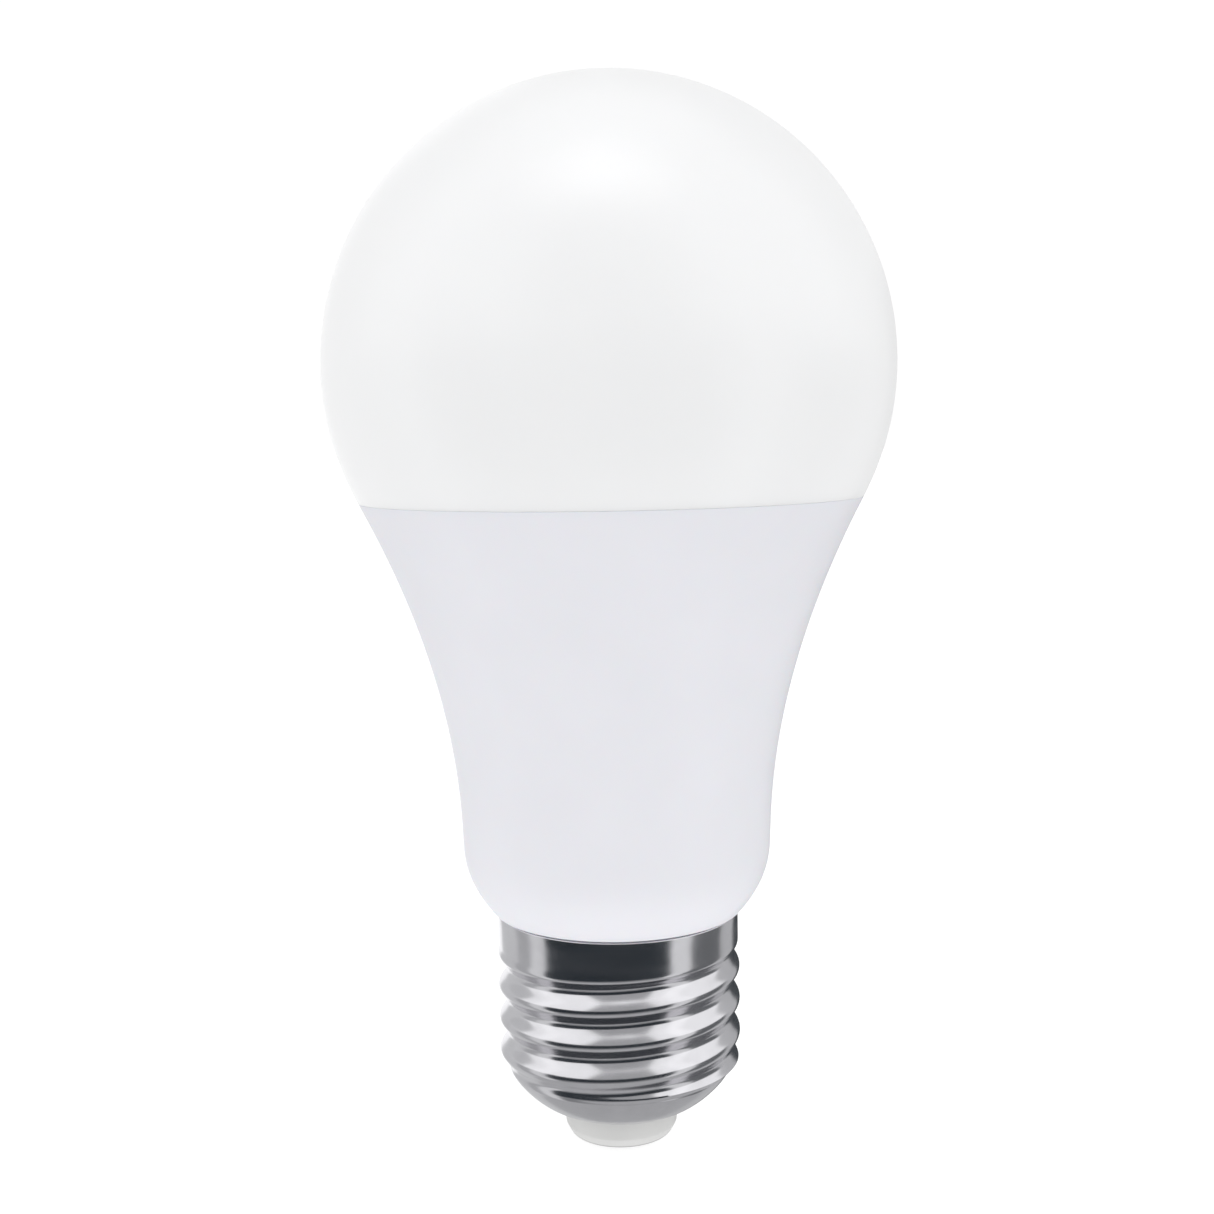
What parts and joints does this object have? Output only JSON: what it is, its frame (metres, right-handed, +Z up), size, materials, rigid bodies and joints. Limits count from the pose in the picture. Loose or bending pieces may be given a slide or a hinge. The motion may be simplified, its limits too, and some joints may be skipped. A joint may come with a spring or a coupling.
{
  "type": "smart light bulb",
  "caption": "Dimmable tunable-white Wi-Fi LED light bulb: white opal globe, flared white housing and a nickel screw cap, with its LED board and driver inside.",
  "frame": {"origin": "tip of the centre contact, on the lamp's axis", "axes": "+Z up the lamp's axis from the cap to the globe, and -Y towards the side seen from the front"},
  "size_m": [0.06, 0.06, 0.1144],
  "materials": {
    "opal_diffuser": "satin opal polycarbonate",
    "white_housing": "satin white moulded plastic",
    "nickel_cap": "bright nickel-plated rolled sheet",
    "nickel_contact": "nickel-plated brass rivet",
    "insulator_plastic": "light grey matt moulded plastic",
    "silicone": "white silicone",
    "heat_sink_aluminium": "drawn, satin",
    "led_board": "white solder mask on aluminium",
    "led_warm": "deep yellow phosphor in a white package",
    "led_cool": "pale yellow phosphor in a white package",
    "screw_steel": "zinc-plated steel",
    "connector_plastic": "natural nylon",
    "green_laminate": "green solder mask on glass-epoxy laminate",
    "black_laminate": "black solder mask on glass-epoxy laminate",
    "shield_steel": "tin-plated steel",
    "header_black": "black moulded plastic with tinned pins",
    "capacitor_sleeve": "shrunk vinyl sleeve on an aluminium can",
    "ferrite": "dull sintered ferrite",
    "spool_plastic": "black phenolic",
    "winding_tape": "yellow polyester tape over enamelled copper wire",
    "film_box": "yellow moulded box",
    "varistor_blue": "blue dipped epoxy",
    "resistor_body": "blue-green flameproof coating with colour bands",
    "chip_epoxy": "black moulded epoxy with tinned legs",
    "insulation_film": "milky polyester film",
    "wire_red": "red silicone insulation",
    "wire_black": "black silicone insulation"
  },
  "bodies": {
    "root": {"diffuser_globe": "opal_diffuser", "housing_shell": "white_housing", "seal_bead": "silicone", "cap_shell": "nickel_cap", "cap_insulator": "insulator_plastic", "centre_contact": "nickel_contact", "heat_sink_cup": "heat_sink_aluminium", "led_board": "led_board", "board_connector": "connector_plastic", "board_screw_1": "screw_steel", "board_screw_2": "screw_steel", "board_screw_3": "screw_steel", "led_warm_1": "led_warm", "led_cool_1": "led_cool", "led_warm_2": "led_warm", "led_cool_2": "led_cool", "led_warm_3": "led_warm", "led_cool_3": "led_cool", "led_warm_4": "led_warm", "led_cool_4": "led_cool", "led_warm_5": "led_warm", "led_cool_5": "led_cool", "led_warm_6": "led_warm", "led_cool_6": "led_cool", "led_warm_7": "led_warm", "led_cool_7": "led_cool", "led_warm_8": "led_warm", "led_cool_8": "led_cool", "driver_board": "green_laminate", "insulation_sleeve": "insulation_film", "bulk_capacitor": "capacitor_sleeve", "output_capacitor": "capacitor_sleeve", "filter_inductor": "ferrite", "film_capacitor": "film_box", "varistor": "varistor_blue", "fusible_resistor": "resistor_body", "transformer_core": "ferrite", "transformer_spool": "spool_plastic", "transformer_winding": "winding_tape", "bridge_rectifier": "chip_epoxy", "driver_chip": "chip_epoxy", "warm_channel_mosfet": "chip_epoxy", "cool_channel_mosfet": "chip_epoxy", "wifi_board": "black_laminate", "wifi_shield_can": "shield_steel", "led_pin_header": "header_black", "wifi_pin_header": "header_black", "live_wire": "wire_red", "neutral_wire": "wire_black"}
  },
  "joints": []
}
